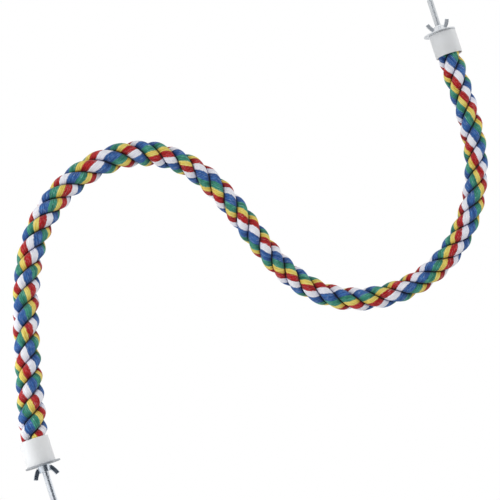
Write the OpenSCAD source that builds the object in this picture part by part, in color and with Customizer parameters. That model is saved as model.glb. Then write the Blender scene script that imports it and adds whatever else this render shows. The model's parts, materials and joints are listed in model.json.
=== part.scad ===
// Bendable rope perch for a bird cage.
// Three cotton strands are laid round a soft steel wire. Each end of the rope sits in a plastic
// cap with a potted bolt, and a washer and a wing nut on the bolt clamp it to the bars of a cage.
// Millimetres and degrees. +Z is up, +X runs from the lower end to the upper one, +Y is the back.
// The origin is on the lower bolt's axis, in the middle of its free thread.

/* [Rope] */
// Length of the rope along its middle, with the ends inside the caps
rope_length = 784; // [600:1:1000]
// Nominal diameter of the rope
rope_d = 19; // [15:0.5:24]
// Length of rope in which a strand goes once round
lay_length = 47.25; // [40:0.25:60]
// Gap left between two strands
strand_gap = 0.26; // [0.2:0.02:0.5]
// Diameter of the wire in the middle of the rope
wire_d = 3; // [2:0.1:3.6]
// Gap left between the wire and the strands
wire_gap = 0.3; // [0.2:0.05:0.6]
// Length over which the rope swells as it leaves a cap
swell_length = 7; // [4:0.5:12]
// Length over which the rope bends as it leaves the lower cap
mouth_bend_length = 13; // [8:0.5:18]
// How far the lower cap leans away from the rope that leaves it, in degrees
mouth_bend = 12.5; // [0:0.5:16]

/* [Caps] */
// Length of a cap
cap_length = 19.5; // [17:0.5:26]
// Wall round the rope
cap_wall = 1.2; // [1:0.1:2]
// Thickness of the closed end
cap_end = 2; // [1.5:0.1:3]
// Room between the nominal rope and the cap, all round
cap_room = 0.3; // [0.2:0.05:0.6]
// Radius of the closed end's outer edge
cap_edge = 0.5; // [0.3:0.1:1]
// Chamfer inside the mouth
cap_lip = 0.4; // [0.2:0.1:0.6]
// Depth of the glue between the rope and the closed end
glue_depth = 4.5; // [4.2:0.1:5.5]

/* [Bolts] */
// Diameter over the thread
bolt_d = 5; // [4:0.5:6]
// Diameter of the plain shank, where the nut grips it
shank_d = 4.5; // [3.6:0.1:4.6]
// Length under the head
bolt_length = 32; // [30:1:45]
// Width of the hexagon head across its flats
head_flats = 8; // [7:0.5:10]
// Height of the head
head_h = 3.5; // [2.5:0.1:4]
// Chamfer at the tip
tip_chamfer = 0.8; // [0.4:0.1:1.2]
// Radial room of the bolt in the cap's hole
hole_room = 0.1; // [0.05:0.05:0.3]
// How far the lower bolt stands off the middle of its cap
lower_bolt_offset = 1.1; // [0:0.1:2]
// How far the upper bolt stands off the middle of its cap
upper_bolt_offset = 1.3; // [0:0.1:2]

/* [Washers] */
// Outer diameter
washer_d = 26.5; // [22:0.5:32]
// Thickness
washer_t = 1.2; // [0.8:0.1:2]
// Diameter of the hole
washer_hole = 6.6; // [6.5:0.1:7.5]
// How far the upper washer has slipped off the bolt's axis
upper_washer_slip = 0.7; // [0:0.05:0.7]
// Width of the rounded edge that the punch leaves
washer_edge = 0.3; // [0.1:0.05:0.4]

/* [Wing nuts] */
// Radial room of the bolt in the nut
nut_room = 0.05; // [0.02:0.01:0.1]
// Diameter of the hub at the washer
hub_d = 9.4; // [8.8:0.1:11]
// Diameter of the hub at its top
hub_top_d = 8.2; // [7.6:0.1:9]
// Height of the hub
hub_h = 5; // [4:0.5:7]
// Width of a wing
wing_w = 3.4; // [2.5:0.1:4]
// Thickness of a wing
wing_t = 2.2; // [1.6:0.1:2.6]
// Width of what is taken off a wing's long edges
wing_edge = 0.4; // [0.2:0.1:0.6]
// Distance of a wing's root from the bolt's axis
wing_root = 4.2; // [4:0.1:5]
// Height of a wing's root above the washer
wing_foot = 2.2; // [2:0.1:3]
// Radius on which a wing curves
wing_bend = 17; // [14:0.5:22]
// Turn of the lower wing nut about its bolt, in degrees
lower_nut_turn = -18; // [-90:1:90]
// Turn of the upper wing nut about its bolt, in degrees
upper_nut_turn = 0; // [-90:1:90]
// Lean of a wing at its root, from the bolt's axis, in degrees
root_lean = 46; // [40:1:50]
// Lean of a wing at its tip, in degrees
tip_lean = 19; // [10:1:30]

/* [Hidden] */
$fn = 64;

// The rope's course: at each share of its length, the direction in which it runs in the plane of
// X and Z. 0 is to the right and 90 is straight up.
heading_shares = [[0, 96.5], [0.03, 95.5], [0.065, 97], [0.095, 97], [0.12, 96], [0.15, 93],
    [0.175, 89], [0.2, 82.5], [0.225, 74], [0.25, 63.5], [0.275, 52], [0.3, 41], [0.325, 30],
    [0.35, 17], [0.375, 1.5], [0.4, -15.5], [0.425, -29], [0.45, -41], [0.475, -49],
    [0.5, -53], [0.525, -53.5], [0.55, -50], [0.575, -42], [0.6, -31], [0.625, -17],
    [0.65, -3], [0.675, 9.5], [0.7, 20.5], [0.725, 32], [0.75, 44], [0.775, 56.5],
    [0.8, 67.5], [0.825, 77], [0.85, 86], [0.875, 94.5], [0.9, 102], [0.925, 106],
    [0.95, 107.5], [1, 107]];
// How many degrees it leans back out of that plane
tilt_shares = [[0, 8], [0.04, 11], [0.1, 20], [0.15, 23], [0.22, 24], [0.29, 23],
    [0.345, 18], [0.4, 8], [0.445, 0], [0.85, 0], [1, 5]];
// The free rope's girth, as a share of its nominal diameter: it is fuller where it was pushed up
girth_shares = [[0, 1.13], [0.035, 1.14], [0.06, 1.09], [0.1, 1.045], [0.15, 1.08], [0.25, 1.09],
    [0.3, 1.11], [0.34, 1.14], [0.38, 1.11], [0.41, 1], [0.46, 1.03], [0.52, 1.055], [0.56, 1.01],
    [0.7, 1], [0.75, 1.02], [0.79, 1.045], [0.83, 1.02], [0.87, 1], [0.9, 1.025], [0.92, 1.005],
    [0.95, 1.04], [0.98, 1.09], [1, 1.09]];
// How much of its turns the lay has made, because pushed up rope has a shorter lay
lay_shares = [[0, 0], [0.1, 0.117], [0.2, 0.221], [0.3, 0.318], [0.36, 0.369],
    [0.42, 0.433], [0.5, 0.51], [0.6, 0.613], [0.7, 0.705], [0.8, 0.805], [0.9, 0.902], [1, 1]];
// The rope's girth inside a cap, as a share of its nominal diameter
pinch_share = 0.96;
// The angle at which the first strand starts, from the side on the left of the rope's run
lay_start = -108;

strand_count = 3;
rings_per_turn = 12;
turns = rope_length / lay_length;
ring_count = 2 * ceil(turns * rings_per_turn / 2);
ring_step = rope_length / ring_count;

// What one end holds, counted outwards along the bolt from the cap's closed face
cap_bore_r = rope_d / 2 + cap_room;
cap_r = cap_bore_r + cap_wall;
rope_seat = cap_end + glue_depth;
grip = cap_length - rope_seat;
bolt_tip = bolt_length - cap_end;
nut_top = washer_t + hub_h;
thread_start = nut_top + tip_chamfer / 2;
thread_end = bolt_tip - tip_chamfer;
thread_middle = (thread_start + thread_end) / 2;
cut = cap_wall;

function ramp(x) = min(1, max(0, x));
function course(t) = lookup(t, heading_shares)
    + mouth_bend * (1 - ramp((t * rope_length - grip) / mouth_bend_length + 0.5));
function tilt(t) = lookup(t, tilt_shares);

// The rope's own directions: along it, to the left of its run, and out to the front
function along(t) = [cos(course(t)) * cos(tilt(t)), sin(tilt(t)), sin(course(t)) * cos(tilt(t))];
function leftward(t) = [-sin(course(t)), 0, cos(course(t))];
function forward(t) = cross(along(t), leftward(t));

lower_end = lower_bolt_offset * leftward(0) + thread_middle * along(0);
rope_start = lower_end + rope_seat * along(0);
route = [for (i = 0, p = rope_start; i <= ring_count;
    p = p + ring_step * along((i + 0.5) / ring_count), i = i + 1) p];
upper_end = route[ring_count] + rope_seat * along(1);

// The rope's outer radius: held in by the caps, and fuller between them
function from_end(t) = rope_length * min(t, 1 - t);
function swell(t) = ramp((from_end(t) - grip) / swell_length);
function rope_r(t) = rope_d / 2
    * (pinch_share + swell(t) * (lookup(t, girth_shares) - pinch_share));
function lay_angle(t) = lay_start + 360 * turns * lookup(t, lay_shares);

// A point of a ring round the rope, from its place across the rope
function on_ring(i, across) = let (t = i / ring_count)
    route[i] + across.x * leftward(t) + across.y * forward(t);

// A strand's section is a round lobe that its two neighbours and the wire squeeze into a wedge.
// The lobe's radius is a share of the rope's. It meets its neighbours at another share of it.
lobe_share = 0.58;
middle_share = 1 - lobe_share;
wedge = 180 / strand_count;
meeting_share = middle_share * cos(wedge)
    + sqrt(pow(lobe_share, 2) - pow(middle_share * sin(wedge), 2));
lobe_end = 180 - atan2(meeting_share * sin(wedge), middle_share - meeting_share * cos(wedge));
lobe_points = 7;
strand_points = lobe_points + 3;
spread = strand_gap / 2 / sin(wedge);
wire_room_r = (wire_d / 2 + wire_gap) / cos(wedge / 2);

function strand_section(r) = concat(
    [for (j = [0 : lobe_points - 1])
        let (a = lobe_end * (2 * j / (lobe_points - 1) - 1))
        [middle_share * r + spread, 0] + (lobe_share * r - spread) * [cos(a), sin(a)]],
    [for (a = [wedge, 0, -wedge]) [spread, 0] + wire_room_r * [cos(a), sin(a)]]);

function turned(p, a) = [p.x * cos(a) - p.y * sin(a), p.x * sin(a) + p.y * cos(a)];

// One square of a swept surface as two triangles. leans says which way it is split, so that two
// strands are split alike where they face each other.
function split(a, b, c, d, leans) = leans ? [[a, d, c], [a, c, b]] : [[a, d, b], [b, d, c]];

function sweep_faces(n, rings, first_leaning, last_leaning) = concat(
    [[for (j = [0 : n - 1]) j]],
    [[for (j = [n - 1 : -1 : 0]) rings * n + j]],
    [for (i = [0 : rings - 1]) for (j = [0 : n - 1])
        let (k = (j + 1) % n)
        for (f = split(i * n + j, i * n + k, (i + 1) * n + k, (i + 1) * n + j,
            j >= first_leaning && j <= last_leaning)) f]);

// One strand, in place, turned on from the first by its share of a full turn
module strand(number) {
    points = [for (i = [0 : ring_count])
        let (t = i / ring_count, angle = lay_angle(t) + 360 * number / strand_count)
        for (p = strand_section(rope_r(t))) on_ring(i, turned(p, angle))];
    polyhedron(points, sweep_faces(strand_points, ring_count, lobe_points - 1,
        strand_points - 2), convexity = 10);
}

wire_sides = 8;

// The soft steel wire that keeps the rope in the shape it is bent to
module wire() {
    points = [for (i = [0 : 2 : ring_count])
        for (j = [0 : wire_sides - 1])
            on_ring(i, wire_d / 2 * [cos(360 * j / wire_sides), sin(360 * j / wire_sides)])];
    polyhedron(points, sweep_faces(wire_sides, ring_count / 2, 0, -1), convexity = 10);
}

// Places what belongs to an end: +Z runs out along the bolt, from the cap's closed face, and +X is
// the side to which the bolt stands off
module frame_at(place, x, y, z) {
    multmatrix([
        [x.x, y.x, z.x, place.x],
        [x.y, y.y, z.y, place.y],
        [x.z, y.z, z.z, place.z],
        [0, 0, 0, 1]]) children();
}

module at_lower_end() {
    frame_at(lower_end, -leftward(0), forward(0), -along(0)) children();
}

module at_upper_end() {
    frame_at(upper_end, leftward(1), forward(1), along(1)) children();
}

// Cap: a moulded cup with a rounded closed end and a hole for the bolt
module cap(bolt_offset) {
    square_end = cap_r - cap_edge;
    difference() {
        rotate_extrude() {
            translate([0, -cap_length]) square([cap_r, cap_length - cap_edge]);
            translate([0, -cap_edge]) square([square_end, cap_edge]);
            translate([square_end, -cap_edge]) circle(r = cap_edge);
        }
        translate([0, 0, -cap_length - cut]) cylinder(r = cap_bore_r, h = cap_length + cut - cap_end);
        translate([0, 0, -cap_length - cap_lip])
            cylinder(r1 = cap_bore_r + 2 * cap_lip, r2 = cap_bore_r, h = 2 * cap_lip);
        translate([bolt_offset, 0, -cap_end - cut])
            cylinder(d = bolt_d + 2 * hole_room, h = cap_end + 2 * cut);
    }
}

module head_shape() {
    cylinder(d = head_flats / cos(30), h = head_h, $fn = 6);
}

// Bolt: a hexagon head inside the cap, a shank and a thread that stands out past the nut
module bolt(bolt_offset) {
    translate([bolt_offset, 0, 0]) {
        translate([0, 0, -cap_end - head_h]) head_shape();
        rotate_extrude() polygon([
            [0, -cap_end - head_h / 2],
            [shank_d / 2, -cap_end - head_h / 2],
            [shank_d / 2, thread_start],
            [bolt_d / 2, thread_start],
            [bolt_d / 2, thread_end],
            [bolt_d / 2 - tip_chamfer, bolt_tip],
            [0, bolt_tip]]);
    }
}

// Glue: fills the cap from its closed end to the rope and holds the bolt's head
module glue_plug(bolt_offset) {
    difference() {
        translate([0, 0, -rope_seat]) cylinder(r = cap_bore_r, h = glue_depth);
        translate([bolt_offset, 0, -cap_end - head_h]) {
            head_shape();
            translate([0, 0, head_h / 2]) cylinder(d = shank_d, h = head_h / 2 + cut);
        }
    }
}

// Washer: punched, with a rounded rim
module washer(bolt_offset, slip) {
    translate([bolt_offset + slip, 0, 0]) difference() {
        rotate_extrude() polygon([
            [0, 0],
            [washer_d / 2 - washer_edge, 0],
            [washer_d / 2, washer_edge],
            [washer_d / 2, washer_t - washer_edge],
            [washer_d / 2 - washer_edge, washer_t],
            [0, washer_t]]);
        translate([0, 0, -cut]) cylinder(d = washer_hole, h = washer_t + 2 * cut);
    }
}

// The outline of a wing's width and thickness: flat, with its long edges taken off
module wing_section() {
    half_w = wing_w / 2;
    half_t = wing_t / 2;
    polygon([
        [half_w - wing_edge, -half_t],
        [half_w, wing_edge - half_t],
        [half_w, half_t - wing_edge],
        [half_w - wing_edge, half_t],
        [wing_edge - half_w, half_t],
        [-half_w, half_t - wing_edge],
        [-half_w, wing_edge - half_t],
        [wing_edge - half_w, -half_t]]);
}

// One wing: its section swept on an arc, from the hub out and up to a square tip
module wing() {
    centre_x = wing_root - wing_bend * cos(root_lean);
    centre_z = wing_foot + wing_bend * sin(root_lean);
    translate([centre_x, 0, centre_z]) rotate([90, 0, 0]) rotate([0, 0, -root_lean])
        rotate_extrude(angle = root_lean - tip_lean, $fn = 180)
            translate([wing_bend, 0]) wing_section();
}

// Wing nut: a tapered hub with two curved wings
module wing_nut(bolt_offset, nut_turn) {
    translate([bolt_offset, 0, washer_t]) difference() {
        union() {
            rotate_extrude() polygon([
                [0, 0],
                [hub_d / 2, 0],
                [hub_top_d / 2, hub_h],
                [0, hub_h]]);
            for (side = [0, 180]) rotate([0, 0, side + nut_turn]) wing();
        }
        translate([0, 0, -cut]) cylinder(d = bolt_d + 2 * nut_room, h = hub_h + 2 * cut);
    }
}

module strand_1() { color("royalblue") strand(0); }
module strand_2() { color("firebrick") strand(1); }
module strand_3() { color("gold") strand(2); }
module core_wire() { color("dimgray") wire(); }
module lower_cap() { color("white") at_lower_end() cap(lower_bolt_offset); }
module upper_cap() { color("white") at_upper_end() cap(upper_bolt_offset); }
module lower_bolt() { color("silver") at_lower_end() bolt(lower_bolt_offset); }
module upper_bolt() { color("silver") at_upper_end() bolt(upper_bolt_offset); }
module lower_glue_plug() { color("wheat") at_lower_end() glue_plug(lower_bolt_offset); }
module upper_glue_plug() { color("wheat") at_upper_end() glue_plug(upper_bolt_offset); }
module lower_washer() { color("lightgray") at_lower_end() washer(lower_bolt_offset, 0); }
module upper_washer() {
    color("lightgray") at_upper_end() washer(upper_bolt_offset, upper_washer_slip);
}
module lower_wing_nut() { color("gainsboro") at_lower_end() wing_nut(lower_bolt_offset, lower_nut_turn); }
module upper_wing_nut() { color("gainsboro") at_upper_end() wing_nut(upper_bolt_offset, upper_nut_turn); }

strand_1();
strand_2();
strand_3();
core_wire();
lower_cap();
upper_cap();
lower_bolt();
upper_bolt();
lower_glue_plug();
upper_glue_plug();
lower_washer();
upper_washer();
lower_wing_nut();
upper_wing_nut();
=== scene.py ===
"""The looks of a bendable rope perch: three laid cotton strands, and a clamping bolt at each end.

Metres and degrees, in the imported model's own frame: +Z is up, +X runs from the lower end of the
perch to the upper one, and +Y is the back.
"""

import json
import math

import bpy
import numpy as np
from mathutils import Matrix, Vector

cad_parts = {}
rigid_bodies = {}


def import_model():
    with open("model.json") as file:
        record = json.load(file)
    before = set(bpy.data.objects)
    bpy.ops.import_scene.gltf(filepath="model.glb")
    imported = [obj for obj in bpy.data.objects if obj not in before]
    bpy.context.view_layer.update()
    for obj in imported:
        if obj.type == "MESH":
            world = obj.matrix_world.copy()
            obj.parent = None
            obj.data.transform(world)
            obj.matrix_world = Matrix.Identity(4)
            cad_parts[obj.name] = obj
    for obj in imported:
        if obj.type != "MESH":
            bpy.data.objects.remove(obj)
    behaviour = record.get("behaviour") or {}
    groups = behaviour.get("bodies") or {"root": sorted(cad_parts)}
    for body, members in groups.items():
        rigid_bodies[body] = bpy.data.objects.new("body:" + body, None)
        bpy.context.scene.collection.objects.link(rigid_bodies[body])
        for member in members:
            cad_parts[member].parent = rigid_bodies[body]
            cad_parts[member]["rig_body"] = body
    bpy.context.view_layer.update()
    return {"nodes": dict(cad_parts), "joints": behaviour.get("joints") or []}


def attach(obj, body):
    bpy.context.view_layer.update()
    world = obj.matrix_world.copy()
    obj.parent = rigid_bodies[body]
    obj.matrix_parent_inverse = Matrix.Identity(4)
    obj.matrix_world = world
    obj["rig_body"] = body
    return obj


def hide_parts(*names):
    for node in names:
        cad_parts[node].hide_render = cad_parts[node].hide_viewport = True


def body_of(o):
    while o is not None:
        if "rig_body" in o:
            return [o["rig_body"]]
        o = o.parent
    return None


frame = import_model()

# The rope, as in the part's source
ROPE_LENGTH = 0.784
ROPE_D = 0.019
LAY_LENGTH = 0.04725
WIRE_ROOM_R = 0.0019
SWELL_LENGTH = 0.007
MOUTH_BEND_LENGTH = 0.013
MOUTH_BEND = 12.5
PINCH_SHARE = 0.96
# The first strand's angle at the lower end, in degrees
LAY_START = -108
STRAND_COUNT = 3
# How far the axis of a strand's twist stands from the rope's middle, and the radius of its round
# back, as shares of the rope's radius
AXIS_SHARE = 0.5
LOBE_SHARE = 0.58
TURNS = ROPE_LENGTH / LAY_LENGTH

# The rope's course: at each share of its length, the direction in which it runs in the plane of
# X and Z. 0 is to the right and 90 is straight up.
HEADING_SHARES = [
    (0, 96.5), (0.03, 95.5), (0.065, 97), (0.095, 97), (0.12, 96), (0.15, 93), (0.175, 89),
    (0.2, 82.5), (0.225, 74), (0.25, 63.5), (0.275, 52), (0.3, 41), (0.325, 30), (0.35, 17),
    (0.375, 1.5), (0.4, -15.5), (0.425, -29), (0.45, -41), (0.475, -49), (0.5, -53),
    (0.525, -53.5), (0.55, -50), (0.575, -42), (0.6, -31), (0.625, -17), (0.65, -3),
    (0.675, 9.5), (0.7, 20.5), (0.725, 32), (0.75, 44), (0.775, 56.5), (0.8, 67.5),
    (0.825, 77), (0.85, 86), (0.875, 94.5), (0.9, 102), (0.925, 106), (0.95, 107.5), (1, 107),
]
# How many degrees it leans back out of that plane
TILT_SHARES = [
    (0, 8), (0.04, 11), (0.1, 20), (0.15, 23), (0.22, 24), (0.29, 23), (0.345, 18), (0.4, 8),
    (0.445, 0), (0.85, 0), (1, 5),
]
# The free rope's girth, as a share of its nominal diameter
GIRTH_SHARES = [
    (0, 1.13), (0.035, 1.14), (0.06, 1.09), (0.1, 1.045), (0.15, 1.08), (0.25, 1.09), (0.3, 1.11),
    (0.34, 1.14), (0.38, 1.11), (0.41, 1), (0.46, 1.03), (0.52, 1.055), (0.56, 1.01), (0.7, 1),
    (0.75, 1.02), (0.79, 1.045), (0.83, 1.02), (0.87, 1), (0.9, 1.025), (0.92, 1.005), (0.95, 1.04),
    (0.98, 1.09), (1, 1.09),
]
# How much of its turns the lay has made
LAY_SHARES = [
    (0, 0), (0.1, 0.117), (0.2, 0.221), (0.3, 0.318), (0.36, 0.369), (0.42, 0.433),
    (0.5, 0.51), (0.6, 0.613), (0.7, 0.705), (0.8, 0.805), (0.9, 0.902), (1, 1),
]

# The yarns that make up a strand. They twist round it the other way, against the lay.
YARNS = 20
YARN_TWIST = -1.6
# The turn of the lay from which the twist is counted
TWIST_START = 1 / 12
# The gap between two strands, and how far each one moves out for it
STRAND_GAP = 0.0001
STRAND_SPREAD = STRAND_GAP / 2 / math.sin(math.pi / STRAND_COUNT)
YARN_RELIEF = 0.00019
# The dip between two colours: its depth, and how far it reaches to each side, in yarns
COLOUR_RELIEF = 0.00012
COLOUR_DIP_WIDTH = 0.75
# How far a slack yarn stands out, and how often each yarn is slack over the rope's length
SLACK_RELIEF = 0.00007
SLACK_WAVES = (9, 23, 47)
SLACK_SEED = 11
CORNER_ROUNDNESS = 14
STEPS_PER_YARN = 4
ROPE_ROWS = 960
REACH_NAME = "reach"
# Where round a strand the first colour starts, in turns
COLOUR_START = 0.5
# How far the colours have wandered round each strand, in turns, at each share of the length
COLOUR_SHIFT_SHARES = [
    [(0, 0.38), (0.05, 0.34), (0.19, 0.09), (0.33, 0.01), (0.38, 0.1), (0.56, 0.11),
     (0.72, 0.43), (0.81, 0.42), (0.9, 0.7), (0.95, 0.95), (0.98, 1.22), (1, 1.25)],
    [(0, 0.1), (0.1, 0.05), (0.19, -0.04), (0.3, -0.09), (0.38, 0.01), (0.56, 0.27),
     (0.72, 0.71), (0.81, 0.77), (0.85, 0.85), (0.9, 1.12), (0.95, 1.17), (0.98, 1.32), (1, 1.32)],
    [(0, 0.15), (0.05, 0.11), (0.14, -0.13), (0.28, -0.21), (0.42, -0.14), (0.56, -0.14),
     (0.72, 0.16), (0.85, 0.13), (0.9, 0.38), (1, 0.6)],
]
# Each colour of cotton, and the number of yarns that have it
COTTON = [
    ((0.87, 0.87, 0.93), 4),
    ((0.034, 0.114, 0.35), 5),
    ((0.044, 0.26, 0.183), 4),
    ((0.81, 0.66, 0.145), 3),
    ((0.41, 0.013, 0.015), 4),
]
# The pale colour of stray fibres, and how much of it a fleck takes on
FLECK_COLOUR = (0.78, 0.8, 0.84)
FLECK_SHARE = 0.3
# Keeps the three strands' patterns apart
SEED_STEP = 7.3
# How the colour of the yarns varies, each as the least and the most that it's multiplied by: the
# yarns' own tones, and painted shade and light
OWN_SHADE = (0.72, 1.16)
# Painted shade in the valleys between yarns and the grooves between strands, and on the crests
# painted shade at the sides and painted light on top
VALLEY_PAINTED_SHADE = (0.35, 1.0)
GROOVE_PAINTED_SHADE = (0.12, 1.0)
CREST_PAINTED_LIGHT_AND_SHADE = (0.52, 1.2)
# The yarns' own tones: streaks, fibres and patches
STREAK_SHADE = (0.6, 1.55)
FIBRE_SHADE = (0.7, 1.3)
PATCH_SHADE = (0.84, 1.2)
# Where the painted shade of the grooves and the painted light and shade of the crests begin and end,
# as shares of the rope's radius
GROOVE_REACH_SHARES = (0.64, 0.735)
CREST_REACH_SHARES = (0.7, 0.96)
# How much the fibres lean, across a yarn and along it
FIBRE_LEAN_SHARES = (0.8, 0.55)
# How fine the fibres and the strays are, across a yarn and along it
FIBRE_FINENESS = (3.5, 2.2)
STRAY_FINENESS = (5.5, 0.8)
STREAK_LENGTH_SHARE = 0.22
# How far the line between two colours wavers and strays, in yarns
WAVER = 0.16
STRAY = 0.3
# The bump of the yarns: how much of it the backs, the fibres and the flecks each make up
YARN_BUMP = 0.00022
BACK_BUMP_SHARE = 0.6
FIBRE_BUMP_SHARE = 0.5
FLECK_BUMP_SHARE = 0.12

# Where a noise's values lie: all but the rarest, most of them, and the more usual ones
ALL_NOISE = (0.2, 0.8)
MOST_NOISE = (0.3, 0.7)
USUAL_NOISE = (0.32, 0.68)
WHOLE = (0.0, 1.0)

# An end of the perch, counted outwards along the bolt from the cap's closed face
CAP_LENGTH = 0.0195
CAP_R = 0.011
CAP_BORE_R = 0.0098
CAP_END = 0.002
CAP_EDGE = 0.0005
CAP_LIP = 0.0004
GLUE_DEPTH = 0.0045
ROPE_SEAT = CAP_END + GLUE_DEPTH
GRIP = CAP_LENGTH - ROPE_SEAT
BOLT_R = 0.0025
SHANK_R = 0.00225
HOLE_R = 0.0026
BOLT_TIP = 0.03
TIP_CHAMFER = 0.0008
THREAD_PITCH = 0.0008
THREAD_ROOT_R = 0.00225
THREAD_FLANK_SHARE = 0.16
THREAD_CREST_SHARE = 0.5
# The turns made past each end of the thread, which are trimmed off
SPARE_TURNS = 2
HEAD_SIDES = 6
HEAD_FLATS = 0.008
HEAD_H = 0.0035
HEAD_EDGE = 0.0004
LOWER_BOLT_OFFSET = 0.0011
UPPER_BOLT_OFFSET = 0.0013
WASHER_R = 0.01325
WASHER_T = 0.0012
WASHER_HOLE_R = 0.0033
WASHER_EDGE = 0.0003
UPPER_WASHER_SLIP = 0.0007
HUB_R = 0.0047
HUB_TOP_R = 0.0041
HUB_H = 0.005
NUT_BORE_R = 0.00255
COUNTERSINK = 0.0004
WING_W = 0.0034
WING_T = 0.0022
WING_EDGE = 0.0004
WING_ROOT = 0.0042
WING_FOOT = 0.0022
WING_BEND = 0.017
ROOT_LEAN = 46
TIP_LEAN = 19
NUT_TURN = {"lower": -18, "upper": 0}
NUT_TOP = WASHER_T + HUB_H
THREAD_MIDDLE = (NUT_TOP + TIP_CHAMFER / 2 + BOLT_TIP - TIP_CHAMFER) / 2
# Points nearer than this are one point
TOUCHING = 0.000001
# An edge nearer than this to a circle is on it
NEAR = 0.000024
# What rounding may take off a yarn's number
ROUNDING = 0.000001
# A face crosses the Z axis where its normal's share along that axis is more than this
ACROSS_SHARE = 0.5
# Into how many sides or steps the round forms are divided
RIM_SIDES = 128
HUB_SIDES = 96
SHANK_SIDES = 64
BORE_SIDES = 64
TOOL_SIDES = 48
THREAD_STEPS = 32
WING_STEPS = 14
# Edges sharper than this are left sharp, in degrees
CREASE = 35
THREAD_CREASE = 28
CAST_CREASE = 40
# How a cast piece's corners are filled
CAST_VOXEL = 0.00013
CAST_SOFTENING = {"factor": 0.5, "iterations": 7}

# The zinc plating: a bright and a dull colour for each end, and the least roughness of each piece.
# The ends' colours differ only as painted light and shade: the lower bolt is painted lighter, and the
# lower nut and washer darker
BOLT_ZINC_PAINTED_LIGHT_AND_SHADE = {
    "lower": ((0.86, 0.89, 0.93), (0.7, 0.73, 0.77)),
    "upper": ((0.74, 0.76, 0.78), (0.56, 0.58, 0.6)),
}
NUT_ZINC_PAINTED_LIGHT_AND_SHADE = {
    "lower": ((0.7, 0.75, 0.81), (0.52, 0.56, 0.62)),
    "upper": ((0.8, 0.82, 0.84), (0.6, 0.62, 0.65)),
}
WASHER_ZINC_PAINTED_LIGHT_AND_SHADE = {
    "lower": ((0.5, 0.52, 0.55), (0.34, 0.36, 0.39)),
    "upper": ((0.76, 0.78, 0.81), (0.6, 0.62, 0.65)),
}
BOLT_SMOOTHEST = 0.2
NUT_SMOOTHEST = 0.17
WASHER_SMOOTHEST = 0.34
# The bolts' scuffs are drawn out along them
DRAWN_SCALE = (1.0, 1.0, 0.3)
EVEN_SCALE = (1.0, 1.0, 1.0)
# How much clouds and spots dull a metal, and how much dullness and grain roughen it
METAL_CLOUDS = 0.6
METAL_SPOTS = 0.5
METAL_DULL_ROUGHNESS = 0.14
METAL_GRAIN_ROUGHNESS = 0.08
METAL_BUMP = 0.00002
# The caps' plastic: clean and handled colours, and its least roughness. The upper one is the rougher,
# and its colours are darker as painted shade.
CAP_PLASTIC_WITH_PAINTED_SHADE = {
    "lower": ((0.79, 0.805, 0.82), (0.75, 0.76, 0.765), 0.3),
    "upper": ((0.71, 0.725, 0.74), (0.67, 0.68, 0.685), 0.5),
}
# How much scuffs and grain roughen the plastic, and how high a scuff stands beside the grain
SCUFF_ROUGHNESS = 0.12
GRAIN_ROUGHNESS = 0.06
SCUFF_HEIGHT_SHARE = 0.4
PLASTIC_BUMP = 0.00003
# The wire's bright and dull steel, and its least roughness
WIRE_STEEL = ((0.3, 0.3, 0.31), (0.16, 0.15, 0.15), 0.4)
# The glue's thick and thin colours
GLUE = ((0.72, 0.62, 0.42), (0.82, 0.76, 0.6))
BUBBLE_BUMP = 0.0001

# The photograph's camera
CAMERA_PLACE = (0.14765, -1.0341, 0.17513)
CAMERA_LENS = 100.8
SENSOR_WIDTH = 36

# The studio
FLOOR_HEIGHT = -0.25
FLOOR_SIZE = 8
PAPER = (0.86, 0.86, 0.86)
PAPER_GRAIN = (0.83, 0.83, 0.83)
# How far from its middle the floor keeps shadows whole, and from where it is plain white
SHADOW_REACH = 0.55
BRIGHT_FROM = 1.1
WORLD_LEVEL = 0.44
KEY_PLACE = (-0.75, -0.25, 0)
KEY_SIZE = 0.65
KEY_POWER = 5.4
FILL_PLACE = (1.3, 0.1, 0.8)
FILL_SIZE = 1
FILL_POWER = 6.2
FRONT_PLACE = (0.1, -1.3, 1.7)
FRONT_SIZE = 1.4
FRONT_POWER = 10.2
# Painted reflections: glowing cards by the camera, hidden from the camera, the light and the shadows.
# Each one's middle, size and colour as bright metal sees it
DARK_PAINTED_REFLECTION = ((0.665, -0.785, 0.27), (1.8, 0.76), (0.03, 0.04, 0.055))
GREY_PAINTED_REFLECTION = ((0.35, -1.7, 1.15), (2.2, 1.1), (0.38, 0.4, 0.43))
# The middle of the perch
MIDDLE = Vector((0.15, 0.06, 0.18))


def deselect():
    """Nothing is selected or active, so an operator acts only on what comes next."""
    bpy.ops.object.select_all(action="DESELECT")
    bpy.context.view_layer.objects.active = None


def only(piece):
    """Selects one piece and makes it the active one."""
    deselect()
    piece.select_set(True)
    bpy.context.view_layer.objects.active = piece


def named(name):
    """Gives the primitive just added its name."""
    piece = bpy.context.active_object
    piece.name = name
    piece.data.name = name
    return piece


def select_faces(piece, wanted):
    """In edit mode with faces: selects the faces whose centre and normal pass a test."""
    bpy.ops.object.mode_set(mode="EDIT")
    bpy.ops.mesh.select_mode(type="FACE")
    bpy.ops.mesh.select_all(action="DESELECT")
    bpy.ops.object.mode_set(mode="OBJECT")
    for face in piece.data.polygons:
        face.select = wanted(face.center, face.normal)
    bpy.ops.object.mode_set(mode="EDIT")


def select_edges(piece, wanted):
    """In edit mode with edges: selects the edges whose two ends pass a test."""
    bpy.ops.object.mode_set(mode="EDIT")
    bpy.ops.mesh.select_mode(type="EDGE")
    bpy.ops.mesh.select_all(action="DESELECT")
    bpy.ops.object.mode_set(mode="OBJECT")
    points = piece.data.vertices
    for edge in piece.data.edges:
        edge.select = wanted(points[edge.vertices[0]].co, points[edge.vertices[1]].co)
    bpy.ops.object.mode_set(mode="EDIT")


def from_axis(point):
    """How far a point stands from the Z axis."""
    return math.hypot(point.x, point.y)


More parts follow.
